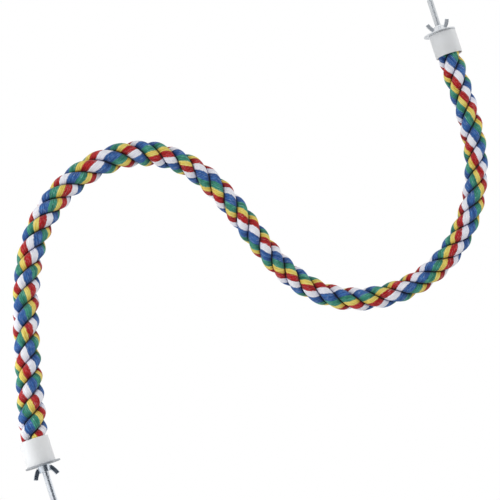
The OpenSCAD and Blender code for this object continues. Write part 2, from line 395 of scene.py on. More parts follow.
def edge_at(height, radius):
    """A test for the edges of one circle round the Z axis."""

    def wanted(a, b):
        level = abs(a.z - height) < NEAR and abs(b.z - height) < NEAR
        return level and abs(from_axis(a) - radius) < NEAR and abs(from_axis(b) - radius) < NEAR

    return wanted


def bevel(piece, wanted, width, segments):
    """Rounds the edges that pass a test."""
    select_edges(piece, wanted)
    bpy.ops.mesh.bevel(offset=width, offset_type="OFFSET", segments=segments, affect="EDGES")
    bpy.ops.object.mode_set(mode="OBJECT")


def modify(piece, kind, **settings):
    """Adds one modifier with its settings and applies it."""
    only(piece)
    modifier = piece.modifiers.new(kind.lower(), kind)
    for setting, value in settings.items():
        setattr(modifier, setting, value)
    bpy.ops.object.modifier_apply(modifier=modifier.name)


def cut_with(piece, tool, operation="DIFFERENCE"):
    """Cuts a piece with a tool piece, or joins them into one solid, and removes the tool."""
    modify(piece, "BOOLEAN", operation=operation, object=tool, solver="EXACT")
    bpy.data.objects.remove(tool)
    return piece


def keep_place(piece):
    """Keeps a piece's place, turn and scale in its mesh."""
    only(piece)
    bpy.ops.object.transform_apply(location=True, rotation=True, scale=True)
    return piece


def rod(name, sides, radius, low, high, aside=0):
    """Adds a cylinder between two heights, round the Z axis or aside from it."""
    deselect()
    bpy.ops.mesh.primitive_cylinder_add(
        vertices=sides, radius=radius, depth=high - low, location=(aside, 0, (low + high) / 2)
    )
    return keep_place(named(name))


def cone(name, sides, low_radius, high_radius, low, high):
    """Adds a cut-off cone between two heights, round the Z axis."""
    deselect()
    bpy.ops.mesh.primitive_cone_add(
        vertices=sides,
        radius1=low_radius,
        radius2=high_radius,
        depth=high - low,
        location=(0, 0, (low + high) / 2),
    )
    return keep_place(named(name))


def outward(piece):
    """Merges doubled points and turns all faces outwards."""
    only(piece)
    bpy.ops.object.mode_set(mode="EDIT")
    bpy.ops.mesh.select_all(action="SELECT")
    bpy.ops.mesh.remove_doubles(threshold=TOUCHING)
    bpy.ops.mesh.normals_make_consistent(inside=False)
    bpy.ops.object.mode_set(mode="OBJECT")
    return piece


def smooth(piece, angle=CREASE):
    """Shades a piece smoothly, apart from the edges sharper than an angle."""
    only(piece)
    bpy.ops.object.shade_smooth_by_angle(angle=math.radians(angle))


def settle(piece, place):
    """Moves a piece from its own directions to its place in the frame."""
    piece.matrix_world = place
    keep_place(piece)


def dress(piece, material):
    """Gives a piece its only material."""
    piece.data.materials.clear()
    piece.data.materials.append(material)


def take_over(piece, node):
    """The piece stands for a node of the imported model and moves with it."""
    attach(piece, body_of(frame["nodes"][node])[0])
    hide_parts(node)


# The rope's course


def lookup(t, shares):
    """The value of a table of shares at each t."""
    at, values = zip(*shares)
    return np.interp(t, at, values)


def course(t):
    """The rope's heading, with the sharper bend where it leaves the lower cap."""
    straightened = np.clip((t * ROPE_LENGTH - GRIP) / MOUTH_BEND_LENGTH + 0.5, 0, 1)
    return np.radians(lookup(t, HEADING_SHARES) + MOUTH_BEND * (1 - straightened))


def directions(t):
    """Along the rope, to the left of its run, and out to the front, one row for each t."""
    heading = course(t)
    tilt = np.radians(lookup(t, TILT_SHARES))
    along = np.stack(
        [np.cos(heading) * np.cos(tilt), np.sin(tilt), np.sin(heading) * np.cos(tilt)], axis=-1
    )
    leftward = np.stack([-np.sin(heading), 0 * heading, np.cos(heading)], axis=-1)
    return along, leftward, np.cross(along, leftward)


def rope_radius(t):
    """The rope's outer radius: held in by the caps, and fuller between them."""
    from_end = ROPE_LENGTH * np.minimum(t, 1 - t)
    swell = np.clip((from_end - GRIP) / SWELL_LENGTH, 0, 1)
    return ROPE_D / 2 * (PINCH_SHARE + swell * (lookup(t, GIRTH_SHARES) - PINCH_SHARE))


def lay_turn(t):
    """The angle of the first strand round the rope, in turns."""
    return LAY_START / 360 + TURNS * lookup(t, LAY_SHARES)


class End:
    """One end of the perch: +Z out along the bolt, and +X to the side where the bolt stands off."""

    def __init__(self, name, t, outwards, bolt_offset):
        joint = next(j for j in frame["joints"] if j["name"] == name + "_nut_turn")
        leftward, forward = (v[0] for v in directions(np.array([float(t)]))[1:])
        self.name = name
        self.z = Vector(joint["axis"]).normalized()
        self.x = Vector(leftward) * outwards
        self.y = Vector(forward)
        self.bolt_offset = bolt_offset
        self.on_bolt = Vector(joint["pos_m"]) - THREAD_MIDDLE * self.z
        self.face = self.on_bolt - bolt_offset * self.x

    def matrix(self, middle):
        """The place of a piece that is made round the Z axis, from the cap's or the bolt's line."""
        turn = Matrix((self.x, self.y, self.z)).transposed().to_4x4()
        return Matrix.Translation(middle) @ turn


LOWER = End("lower", 0, -1, LOWER_BOLT_OFFSET)
UPPER = End("upper", 1, 1, UPPER_BOLT_OFFSET)


def rope_middle():
    """The rope's middle line at each row, from the lower cap to the upper one."""
    step = ROPE_LENGTH / ROPE_ROWS
    between = (np.arange(ROPE_ROWS) + 0.5) / ROPE_ROWS
    start = np.array(LOWER.face - ROPE_SEAT * LOWER.z)
    steps = step * directions(between)[0]
    return start + np.vstack([np.zeros(3), np.cumsum(steps, axis=0)])


# Materials


def new_group(name, inputs, outputs):
    """A shader node group with its sockets, and its input and output nodes."""
    group = bpy.data.node_groups.new(name, "ShaderNodeTree")
    for way, sockets in (("INPUT", inputs), ("OUTPUT", outputs)):
        for socket, kind in sockets.items():
            group.interface.new_socket(socket, in_out=way, socket_type="NodeSocket" + kind)
    entry = group.nodes.new("NodeGroupInput")
    exit_node = group.nodes.new("NodeGroupOutput")
    entry.location = (-900, 0)
    exit_node.location = (900, 0)
    return group, entry, exit_node


class Wiring:
    """Short calls to add the nodes of one material or group."""

    def __init__(self, tree):
        self.nodes = tree.nodes
        self.links = tree.links

    def put(self, socket, value):
        """Links a socket to another, or sets it."""
        if isinstance(value, bpy.types.NodeSocket):
            self.links.new(value, socket)
        else:
            socket.default_value = value

    def node(self, kind, inputs=None, **settings):
        """Adds a node with its settings and inputs."""
        made = self.nodes.new(kind)
        for setting, value in settings.items():
            setattr(made, setting, value)
        for socket, value in (inputs or {}).items():
            self.put(made.inputs[socket], value)
        return made

    def math(self, operation, a, b=None, clamp=False):
        """A sum of one or two values."""
        made = self.node("ShaderNodeMath", operation=operation, use_clamp=clamp)
        for socket, value in zip(made.inputs, (a, b)):
            if value is not None:
                self.put(socket, value)
        return made.outputs[0]

    def noise(self, vector, scale, detail=2, roughness=0.5):
        """A noise value about 0.5."""
        return self.node(
            "ShaderNodeTexNoise",
            {"Vector": vector, "Scale": scale, "Detail": detail, "Roughness": roughness},
        ).outputs[0]

    def stretch(self, value, span, to_span):
        """Maps a value from one range to another, clamped."""
        return self.node(
            "ShaderNodeMapRange",
            {0: value, 1: span[0], 2: span[1], 3: to_span[0], 4: to_span[1]},
        ).outputs[0]

    def vector(self, x, y, z=0.0):
        """A vector of three values."""
        return self.node("ShaderNodeCombineXYZ", {0: x, 1: y, 2: z}).outputs[0]

    def scaled(self, value, share):
        """A value times a constant."""
        return self.math("MULTIPLY", value, share)

    def mix(self, factor, a, b):
        """Mixes two colours."""
        made = self.node("ShaderNodeMix", data_type="RGBA", blend_type="MIX")
        self.put(made.inputs[0], factor)
        self.put(made.inputs[6], a)
        self.put(made.inputs[7], b)
        return made.outputs[2]

    def bump(self, height, distance):
        """A bump of a real height in metres."""
        return self.node("ShaderNodeBump", {"Height": height, "Distance": distance}).outputs[0]


def new_material(name):
    """A material that has only its shader and its output, with its wiring and its shader."""
    material = bpy.data.materials.new(name)
    material.use_nodes = True
    wiring = Wiring(material.node_tree)
    wiring.nodes.clear()
    shader = wiring.node("ShaderNodeBsdfPrincipled")
    output = wiring.node("ShaderNodeOutputMaterial", {"Surface": shader.outputs[0]})
    shader.location = (700, 0)
    output.location = (1000, 0)
    return material, wiring, shader


def rgba(colour):
    """A colour with full cover."""
    return (*colour, 1.0)


def make_yarn_group():
    """Cotton yarns side by side: each has its own shade, soft fibres, flecks and a rounded back, with
    painted shade in the valleys and grooves and painted light on the crests.
    """
    group, entry, leave = new_group(
        "cotton_yarns",
        {
            "UV": "Vector",
            "Yarns": "Float",
            "Length in yarns": "Float",
            "Seed": "Float",
            "Reach": "Float",
        },
        {
            "Wandered": "Float",
            "Openness": "Float",
            "Fleck": "Float",
            "Roughness": "Float",
            "Normal": "Vector",
        },
    )
    w = Wiring(group)
    split = w.node("ShaderNodeSeparateXYZ", {0: entry.outputs["UV"]})
    across = w.math("MULTIPLY", split.outputs[0], entry.outputs["Yarns"])
    down = w.math("MULTIPLY", split.outputs[1], entry.outputs["Length in yarns"])
    flat = w.vector(across, down, entry.outputs["Seed"])

    # A shade of its own for each yarn, from its number
    number = w.math("FLOOR", across)
    tag = w.vector(number, entry.outputs["Seed"])
    own = w.node("ShaderNodeTexWhiteNoise", {"Vector": tag}, noise_dimensions="2D").outputs[0]
    own_shade = w.stretch(own, WHOLE, OWN_SHADE)

    # The fibres run aslant in each yarn, and the yarn's back is rounded
    place = w.math("FRACT", across)
    back = w.math("SINE", w.scaled(place, math.pi))
    lean_across, lean_down = FIBRE_LEAN_SHARES
    aslant = w.math("ADD", w.scaled(down, lean_down), w.scaled(place, lean_across))
    fine_across, fine_down = FIBRE_FINENESS
    fibre_at = w.vector(w.scaled(across, fine_across), w.scaled(aslant, fine_down), own)
    fibres = w.noise(fibre_at, scale=1.6, detail=4, roughness=0.6)
    patches = w.noise(flat, scale=0.35, detail=3)

    # Flecks: many fine, faint ones, and a few broad ones
    fine = w.noise(fibre_at, scale=0.75, detail=3, roughness=0.65)
    broad = w.noise(fibre_at, scale=0.4, detail=4, roughness=0.7)
    fine_fleck = w.stretch(fine, span=(0.56, 0.7), to_span=(0.0, 0.6))
    broad_fleck = w.stretch(broad, span=(0.58, 0.68), to_span=WHOLE)
    fleck = w.math("MAXIMUM", fine_fleck, broad_fleck)
    w.put(leave.inputs["Fleck"], fleck)

    # The line between two colours wavers a little, and fibres of one stray over the other
    waver = w.stretch(w.noise(flat, scale=0.7), MOST_NOISE, (-WAVER, WAVER))
    fine_across, fine_down = STRAY_FINENESS
    stray_at = w.vector(w.scaled(across, fine_across), w.scaled(aslant, fine_down), own)
    stray = w.stretch(w.noise(stray_at, scale=2.4, detail=3), USUAL_NOISE, (-STRAY, STRAY))
    wavered = w.math("ADD", w.math("ADD", across, waver), stray)
    wandered = w.math("DIVIDE", wavered, entry.outputs["Yarns"])
    w.put(leave.inputs["Wandered"], w.math("FRACT", wandered))

    # Painted shade: the valleys between yarns and the grooves between strands are darkened, and the
    # crests get painted shade at their sides and painted light on top; the streaks, fibres and
    # patches are the yarns' own tones
    streak_at = w.vector(across, w.scaled(down, STREAK_LENGTH_SHARE), own)
    streaks = w.noise(streak_at, scale=1.1, detail=2, roughness=0.6)
    shade = own_shade
    for other in (
        w.stretch(back, span=(0.0, 0.6), to_span=VALLEY_PAINTED_SHADE),
        w.stretch(entry.outputs["Reach"], GROOVE_REACH_SHARES, GROOVE_PAINTED_SHADE),
        w.stretch(entry.outputs["Reach"], CREST_REACH_SHARES, CREST_PAINTED_LIGHT_AND_SHADE),
        w.stretch(streaks, USUAL_NOISE, STREAK_SHADE),
        w.stretch(fibres, MOST_NOISE, FIBRE_SHADE),
        w.stretch(patches, MOST_NOISE, PATCH_SHADE),
    ):
        shade = w.math("MULTIPLY", shade, other)
    # The yarns' own tones together with the painted shade and light
    w.put(leave.inputs["Openness"], shade)
    w.put(leave.inputs["Roughness"], w.stretch(fibres, ALL_NOISE, to_span=(0.98, 0.84)))

    height = w.math("ADD", w.scaled(back, BACK_BUMP_SHARE), w.scaled(fibres, FIBRE_BUMP_SHARE))
    height = w.math("ADD", height, w.scaled(fleck, FLECK_BUMP_SHARE))
    w.put(leave.inputs["Normal"], w.bump(height, YARN_BUMP))
    return group


def make_metal_group():
    """Worn metal: faint clouds, fine grain and small dull spots."""
    group, entry, leave = new_group(
        "worn_metal",
        {"Vector": "Vector", "Bright": "Color", "Dull": "Color", "Smoothest": "Float"},
        {"Color": "Color", "Roughness": "Float", "Normal": "Vector"},
    )
    w = Wiring(group)
    vector = entry.outputs["Vector"]
    clouds = w.noise(vector, scale=260, detail=4, roughness=0.6)
    grain = w.noise(vector, scale=1900, detail=3, roughness=0.65)
    spots = w.stretch(w.noise(vector, scale=700, detail=2), span=(0.6, 0.72), to_span=WHOLE)
    cloudy = w.stretch(clouds, span=(0.35, 0.68), to_span=WHOLE)
    dulled = w.math("MAXIMUM", w.scaled(cloudy, METAL_CLOUDS), w.scaled(spots, METAL_SPOTS))
    w.put(leave.inputs["Color"], w.mix(dulled, entry.outputs["Bright"], entry.outputs["Dull"]))
    dull_roughness = w.scaled(dulled, METAL_DULL_ROUGHNESS)
    rougher = w.math("ADD", dull_roughness, w.scaled(grain, METAL_GRAIN_ROUGHNESS))
    w.put(leave.inputs["Roughness"], w.math("ADD", entry.outputs["Smoothest"], rougher))
    w.put(leave.inputs["Normal"], w.bump(grain, METAL_BUMP))
    return group


def make_moulded_group():
    """Moulded plastic: the mould's fine grain, faint clouds and light scuffs."""
    group, entry, leave = new_group(
        "moulded_skin",
        {"Vector": "Vector", "Clean": "Color", "Handled": "Color", "Smoothest": "Float"},
        {"Color": "Color", "Roughness": "Float", "Normal": "Vector"},
    )
    w = Wiring(group)
    vector = entry.outputs["Vector"]
    cloudy = w.noise(vector, scale=90, detail=3)
    clouds = w.stretch(cloudy, span=(0.42, 0.75), to_span=(0.0, 0.7))
    grain = w.noise(vector, scale=2600, detail=2)
    scuffed = w.noise(vector, scale=420, detail=5, roughness=0.7)
    scuffs = w.stretch(scuffed, span=(0.58, 0.72), to_span=WHOLE)
    w.put(leave.inputs["Color"], w.mix(clouds, entry.outputs["Clean"], entry.outputs["Handled"]))
    rougher = w.math("ADD", w.scaled(scuffs, SCUFF_ROUGHNESS), w.scaled(grain, GRAIN_ROUGHNESS))
    w.put(leave.inputs["Roughness"], w.math("ADD", entry.outputs["Smoothest"], rougher))
    height = w.math("ADD", grain, w.scaled(scuffs, SCUFF_HEIGHT_SHARE))
    w.put(leave.inputs["Normal"], w.bump(height, PLASTIC_BUMP))
    return group


YARN_GROUP = make_yarn_group()
METAL_GROUP = make_metal_group()
MOULDED_GROUP = make_moulded_group()


def end_vector(w, end, scale=EVEN_SCALE):
    """Coordinates that run along one end's bolt from its washer's seat, and away from it."""
    place = w.node("ShaderNodeTexCoord").outputs["Object"]
    turned = w.node("ShaderNodeMapping", {"Vector": place}, vector_type="TEXTURE")
    turned.inputs["Location"].default_value = end.on_bolt
    turned.inputs["Rotation"].default_value = end.matrix(end.on_bolt).to_euler()
    scaled = w.node("ShaderNodeMapping", {"Vector": turned.outputs[0]}, vector_type="POINT")
    scaled.inputs["Scale"].default_value = scale
    return scaled.outputs[0]


def add_finish(w, shader, group, values):
    """Gives the shader the colour, roughness and normal of a finish with its own values."""
    finish = w.node("ShaderNodeGroup", values, node_tree=group)
    for socket, source in (("Base Color", "Color"), ("Roughness", "Roughness"), ("Normal", "Normal")):
        w.put(shader.inputs[socket], finish.outputs[source])


def add_metal(w, shader, vector, bright, dull, smoothest):
    """Makes the shader a worn metal."""
    values = {
        "Vector": vector,
        "Bright": rgba(bright),
        "Dull": rgba(dull),
        "Smoothest": smoothest,
    }
    add_finish(w, shader, METAL_GROUP, values)
    shader.inputs["Metallic"].default_value = 1.0


def painted_hollow_shade(w, colour, tone_and_painted_shade):
    """Painted shade: a colour darkened and deepened by a factor, as it looks in hollows, where the
    light that returns has met it more than once; a factor above 1 paints it lighter.
    """
    kept = w.node("ShaderNodeVectorMath", {0: colour, "Scale": tone_and_painted_shade}, operation="SCALE")
    closed = w.math("SUBTRACT", tone_and_painted_shade, 1.0)
    lost = w.node("ShaderNodeVectorMath", {0: colour, "Scale": closed}, operation="SCALE")
    rest = w.node("ShaderNodeVectorMath", {0: lost.outputs[0], 1: (1, 1, 1)}, operation="ADD")
    return w.node(
        "ShaderNodeVectorMath", {0: kept.outputs[0], 1: rest.outputs[0]}, operation="DIVIDE"
    ).outputs[0]


def cotton_material(number):
    """The coloured yarns of one strand."""
    material, w, shader = new_material("cotton_strand_%d" % (number + 1))
    reach = w.node("ShaderNodeAttribute", attribute_name=REACH_NAME, attribute_type="GEOMETRY")
    yarn_width = math.pi * ROPE_D / 2 / YARNS
    values = {
        "UV": w.node("ShaderNodeUVMap", uv_map="UVMap").outputs[0],
        "Yarns": YARNS,
        "Length in yarns": ROPE_LENGTH / yarn_width,
        "Seed": SEED_STEP * (number + 1),
        "Reach": reach.outputs["Fac"],
    }
    yarns = w.node("ShaderNodeGroup", values, node_tree=YARN_GROUP)

    ramp = w.node("ShaderNodeValToRGB", {0: yarns.outputs["Wandered"]})
    ramp.color_ramp.interpolation = "CONSTANT"
    passed = 0
    for colour, count in COTTON:
        if passed == 0:
            stop = ramp.color_ramp.elements[0]
        elif passed + count == YARNS:
            stop = ramp.color_ramp.elements[-1]
        else:
            stop = ramp.color_ramp.elements.new(passed / YARNS)
        stop.position = passed / YARNS
        stop.color = rgba(colour)
        passed += count
    pale = w.mix(FLECK_SHARE, ramp.outputs[0], rgba(FLECK_COLOUR))
    flecked = w.mix(yarns.outputs["Fleck"], ramp.outputs[0], pale)
    # The base colour carries the yarns' own tones and their painted shade and light
    w.put(shader.inputs["Base Color"], painted_hollow_shade(w, flecked, yarns.outputs["Openness"]))
    w.put(shader.inputs["Roughness"], yarns.outputs["Roughness"])
    w.put(shader.inputs["Normal"], yarns.outputs["Normal"])
    shader.inputs["Specular IOR Level"].default_value = 0.15
    shader.inputs["Sheen Weight"].default_value = 0.24
    shader.inputs["Sheen Roughness"].default_value = 0.45
    return material


def zinc_material(name, end, zinc, smoothest, scale=EVEN_SCALE):
    """Zinc plated steel on one end of the perch, with that end's colours, which carry painted light
    and shade.
    """
    material, w, shader = new_material(name)
    # Each end's bright and dull colours carry painted light and shade
    bright, dull = zinc[end.name]
    add_metal(w, shader, end_vector(w, end, scale), bright, dull, smoothest)
    return material


def cap_material(end):
    """Satin white moulded plastic."""
    material, w, shader = new_material("cap_plastic_" + end.name)
    # The upper cap's darker colours are painted shade
    clean, handled, smoothest = CAP_PLASTIC_WITH_PAINTED_SHADE[end.name]
    values = {
        "Vector": end_vector(w, end),
        "Clean": rgba(clean),
        "Handled": rgba(handled),
        "Smoothest": smoothest,
    }
    add_finish(w, shader, MOULDED_GROUP, values)
    shader.inputs["Specular IOR Level"].default_value = 0.4
    shader.inputs["Subsurface Weight"].default_value = 0.08
    shader.inputs["Subsurface Radius"].default_value = (0.002, 0.002, 0.002)
    shader.inputs["Subsurface Scale"].default_value = 1.0
    return material


def wire_material():
    """Soft annealed wire: dark and dull."""
    material, w, shader = new_material("annealed_wire")
    add_metal(w, shader, w.node("ShaderNodeTexCoord").outputs["Object"], *WIRE_STEEL)
    return material


def glue_material():
    """Set hot glue: milky, with small bubbles."""
    material, w, shader = new_material("set_glue")
    place = w.node("ShaderNodeTexCoord").outputs["Object"]
    bubbles = w.node(
        "ShaderNodeTexVoronoi", {"Vector": place, "Scale": 900.0}, feature="SMOOTH_F1"
    ).outputs[0]
    cloud = w.noise(place, scale=300, detail=3)
    thick, thin = GLUE
    w.put(shader.inputs["Base Color"], w.mix(cloud, rgba(thick), rgba(thin)))
    w.put(shader.inputs["Roughness"], w.stretch(cloud, ALL_NOISE, to_span=(0.3, 0.5)))
    w.put(shader.inputs["Normal"], w.bump(bubbles, BUBBLE_BUMP))
    return material


# The strands


def wrapped_grid(name, columns, rows, place):
    """A grid wrapped into a closed tube.

    For each share round and along it, place gives the point, and how far out of the rope it is.
    """
    deselect()
    bpy.ops.mesh.primitive_grid_add(x_subdivisions=columns, y_subdivisions=rows, size=1)
    piece = named(name)
    flat = np.empty(len(piece.data.vertices) * 3)
    piece.data.vertices.foreach_get("co", flat)
    # The grid lies half to each side of its middle, so half is added to give shares from 0 to 1
    flat = flat.reshape(-1, 3) + 0.5
    points, reach = place(flat[:, 0], flat[:, 1])
    piece.data.vertices.foreach_set("co", points.ravel())
    piece.data.attributes.new(REACH_NAME, "FLOAT", "POINT").data.foreach_set("value", reach)
    piece.data.update()
    only(piece)
    bpy.ops.object.mode_set(mode="EDIT")
    bpy.ops.mesh.select_all(action="SELECT")
    bpy.ops.mesh.remove_doubles(threshold=TOUCHING)
    bpy.ops.mesh.fill_holes(sides=0)
    bpy.ops.mesh.select_all(action="SELECT")
    bpy.ops.mesh.normals_make_consistent(inside=False)
    bpy.ops.object.mode_set(mode="OBJECT")
    bpy.ops.object.shade_smooth()
    return piece


def lobe(angle, radius):
    """How far a strand reaches from its own axis: round outside, flat against its neighbours."""
    wedge = math.pi / STRAND_COUNT
    power = CORNER_ROUNDNESS
    axis = AXIS_SHARE * radius
    inwards = (LOBE_SHARE - AXIS_SHARE) * radius
    lobe_radius = LOBE_SHARE * radius - STRAND_SPREAD
    round_reach = np.sqrt(lobe_radius**2 - (inwards * np.sin(angle)) ** 2) - inwards * np.cos(angle)
    total = round_reach**-power
    for normal, distance in (
        (math.pi / 2 + wedge, axis * math.sin(wedge)),
        (-math.pi / 2 - wedge, axis * math.sin(wedge)),
        (math.pi, axis - WIRE_ROOM_R),
    ):
        facing = np.maximum(np.cos(angle - normal), 0)
        total = total + (facing / distance) ** power
    return total ** (-1 / power)


def yarn_back(u, t, number):
    """How far a strand's yarns stand out from their valleys, and how loosely each one lies."""
    rng = np.random.default_rng(SLACK_SEED + number)
    waves = np.array(SLACK_WAVES)
    phase = rng.uniform(0, 2 * math.pi, (YARNS, len(waves)))
    yarn = np.floor(u * YARNS + ROUNDING).astype(int) % YARNS
    slack = np.sin(2 * math.pi * waves * t[:, None] + phase[yarn]).sum(axis=1) / len(waves)
    back = np.abs(np.sin(math.pi * YARNS * u))
    edges = np.cumsum([0] + [count for _, count in COTTON])
    to_edge = np.min(np.abs(u[:, None] * YARNS - edges[None, :]), axis=1)
    dip = np.clip(1 - to_edge / COLOUR_DIP_WIDTH, 0, 1)
    return back * (YARN_RELIEF + SLACK_RELIEF * slack) - COLOUR_RELIEF * dip


def strand(number):
    """One strand of the rope, with its yarns twisted round it."""
    rows = rope_middle()
    at_row = np.linspace(0, 1, ROPE_ROWS + 1)
    _, leftward, forward = directions(at_row)

    def place(u, t):
        row = np.rint(t * ROPE_ROWS).astype(int)
        radius = rope_radius(t)
        turn = lay_turn(t) + number / STRAND_COUNT
        outward_angle = 2 * math.pi * turn
        twist = YARN_TWIST * (lay_turn(t) - TWIST_START)
        shift = lookup(t, COLOUR_SHIFT_SHARES[number])
        angle = 2 * math.pi * (COLOUR_START + u + twist - shift)
        reach = lobe(angle - outward_angle, radius) - YARN_RELIEF + yarn_back(u, t, number)
        axis = AXIS_SHARE * radius + STRAND_SPREAD
        x = axis * np.cos(outward_angle) + reach * np.cos(angle)
        y = axis * np.sin(outward_angle) + reach * np.sin(angle)
        points = rows[row] + x[:, None] * leftward[row] + y[:, None] * forward[row]
        return points, np.hypot(x, y) / radius

    piece = wrapped_grid(
        "strand_%d_yarns" % (number + 1), YARNS * STEPS_PER_YARN, ROPE_ROWS, place
    )
    dress(piece, cotton_material(number))
    return piece


# The caps, bolts, washers and wing nuts, each made round its own Z axis


def cap(end):
    """A moulded cup: a rounded closed end with a hole for the bolt, and a chamfered mouth."""
    piece = rod(end.name + "_cap_moulding", RIM_SIDES, CAP_R, -CAP_LENGTH, 0)
    select_faces(piece, lambda centre, normal: normal.z < -ACROSS_SHARE)
    bpy.ops.mesh.inset(thickness=CAP_R - CAP_BORE_R)
    bpy.ops.mesh.extrude_region_move(
        TRANSFORM_OT_translate={"value": (0, 0, CAP_LENGTH - CAP_END)}
    )
    bpy.ops.object.mode_set(mode="OBJECT")
    bevel(piece, edge_at(0, CAP_R), CAP_EDGE, segments=5)
    bevel(piece, edge_at(-CAP_LENGTH, CAP_BORE_R), CAP_LIP, segments=2)
    bevel(piece, edge_at(-CAP_LENGTH, CAP_R), CAP_LIP / 2, segments=2)
    cut_with(piece, rod("drill", TOOL_SIDES, HOLE_R, -2 * CAP_END, 2 * CAP_END, end.bolt_offset))
    outward(piece)
    smooth(piece)
    settle(piece, end.matrix(end.face))
    dress(piece, cap_material(end))
    take_over(piece, end.name + "_cap")


def thread_ridge(start, length):
    """A right-handed thread: one turn's profile, screwed up the bolt and trimmed at both ends."""
    deselect()
    bpy.ops.mesh.primitive_plane_add(size=THREAD_PITCH)
    piece = named("thread")
    flank = THREAD_PITCH * THREAD_FLANK_SHARE
    crest = THREAD_PITCH * THREAD_CREST_SHARE
    only(piece)
    bpy.ops.object.mode_set(mode="EDIT")
    bpy.ops.mesh.select_mode(type="VERT")
    bpy.ops.mesh.select_all(action="SELECT")
    bpy.ops.mesh.merge(type="CENTER")
    bpy.ops.transform.translate(value=(THREAD_ROOT_R, 0, start - SPARE_TURNS * THREAD_PITCH))
    for step in (
        (BOLT_R - THREAD_ROOT_R, 0, flank),
        (0, 0, crest),
        (THREAD_ROOT_R - BOLT_R, 0, flank),
        (0, 0, THREAD_PITCH - 2 * flank - crest),
    ):
        bpy.ops.mesh.extrude_region_move(TRANSFORM_OT_translate={"value": step})
    bpy.ops.object.mode_set(mode="OBJECT")
    modify(
        piece,
        "SCREW",
        axis="Z",
        angle=2 * math.pi,
        screw_offset=THREAD_PITCH,
        iterations=math.ceil(length / THREAD_PITCH) + 2 * SPARE_TURNS,
        steps=THREAD_STEPS,
        render_steps=THREAD_STEPS,
        use_merge_vertices=True,
        merge_threshold=TOUCHING,
    )
    outward(piece)
    for height, keep_above in ((start, True), (start + length, False)):
        only(piece)
        bpy.ops.object.mode_set(mode="EDIT")
        bpy.ops.mesh.select_all(action="SELECT")
        bpy.ops.mesh.bisect(
            plane_co=(0, 0, height),
            plane_no=(0, 0, 1),
            use_fill=True,
            threshold=TOUCHING,
            clear_inner=keep_above,
            clear_outer=not keep_above,
        )
        bpy.ops.object.mode_set(mode="OBJECT")
    return outward(piece)


def chamfering_tool():
    """What a chamfering tool takes off the bolt's tip: all that is outside a cone."""
    low = BOLT_TIP - TIP_CHAMFER
    high = BOLT_TIP + TIP_CHAMFER
    collar = rod("chamfering_tool", TOOL_SIDES, 2 * BOLT_R, low, high)
    # The cone leans at 45 degrees, and reaches one chamfer past the collar at each end
    foot_radius = BOLT_R + TIP_CHAMFER
    top_radius = BOLT_R - 3 * TIP_CHAMFER
    low -= TIP_CHAMFER
    high += TIP_CHAMFER
    return cut_with(collar, cone("cone", TOOL_SIDES, foot_radius, top_radius, low, high))


def bolt(end):
    """A potted bolt: hexagon head, plain shank, and a thread with a chamfered tip."""
    thread_foot = WASHER_T
    piece = thread_ridge(thread_foot, BOLT_TIP - thread_foot)
    piece.name = end.name + "_bolt_threaded"
    cut_with(piece, chamfering_tool())

    head_foot = -CAP_END - HEAD_H
    shank_foot = -CAP_END - HEAD_H / 2
    shank_top = thread_foot + THREAD_PITCH / 2
    cut_with(piece, rod("shank", SHANK_SIDES, SHANK_R, shank_foot, shank_top), "UNION")
    head_radius = HEAD_FLATS / 2 / math.cos(math.pi / HEAD_SIDES)
    head = rod("head", HEAD_SIDES, head_radius, head_foot, -CAP_END)
    bevel(head, lambda a, b: max(a.z, b.z) < head_foot + NEAR, HEAD_EDGE, segments=2)
    cut_with(piece, head, "UNION")
    outward(piece)
    smooth(piece, THREAD_CREASE)
    settle(piece, end.matrix(end.on_bolt))
    zinc = zinc_material(end.name + "_bolt_zinc", end, BOLT_ZINC_PAINTED_LIGHT_AND_SHADE, BOLT_SMOOTHEST, DRAWN_SCALE)
    dress(piece, zinc)
    take_over(piece, end.name + "_bolt")


def washer(end, slip):
    """A punched washer: its rim is rounded and its hole has a small chamfer."""
    piece = rod(end.name + "_washer_punched", RIM_SIDES, WASHER_R, 0, WASHER_T)
    select_faces(piece, lambda centre, normal: abs(normal.z) > ACROSS_SHARE)
    bpy.ops.mesh.inset(thickness=WASHER_R - WASHER_HOLE_R, use_individual=True)
    bpy.ops.mesh.bridge_edge_loops()
    bpy.ops.object.mode_set(mode="OBJECT")
    for height in (0, WASHER_T):
        bevel(piece, edge_at(height, WASHER_R), WASHER_EDGE, segments=3)
        bevel(piece, edge_at(height, WASHER_HOLE_R), WASHER_EDGE / 3, segments=1)
    outward(piece)
    smooth(piece)
    settle(piece, end.matrix(end.on_bolt + slip * end.x))
    dress(piece, zinc_material(end.name + "_washer_zinc", end, WASHER_ZINC_PAINTED_LIGHT_AND_SHADE, WASHER_SMOOTHEST))
    take_over(piece, end.name + "_washer")


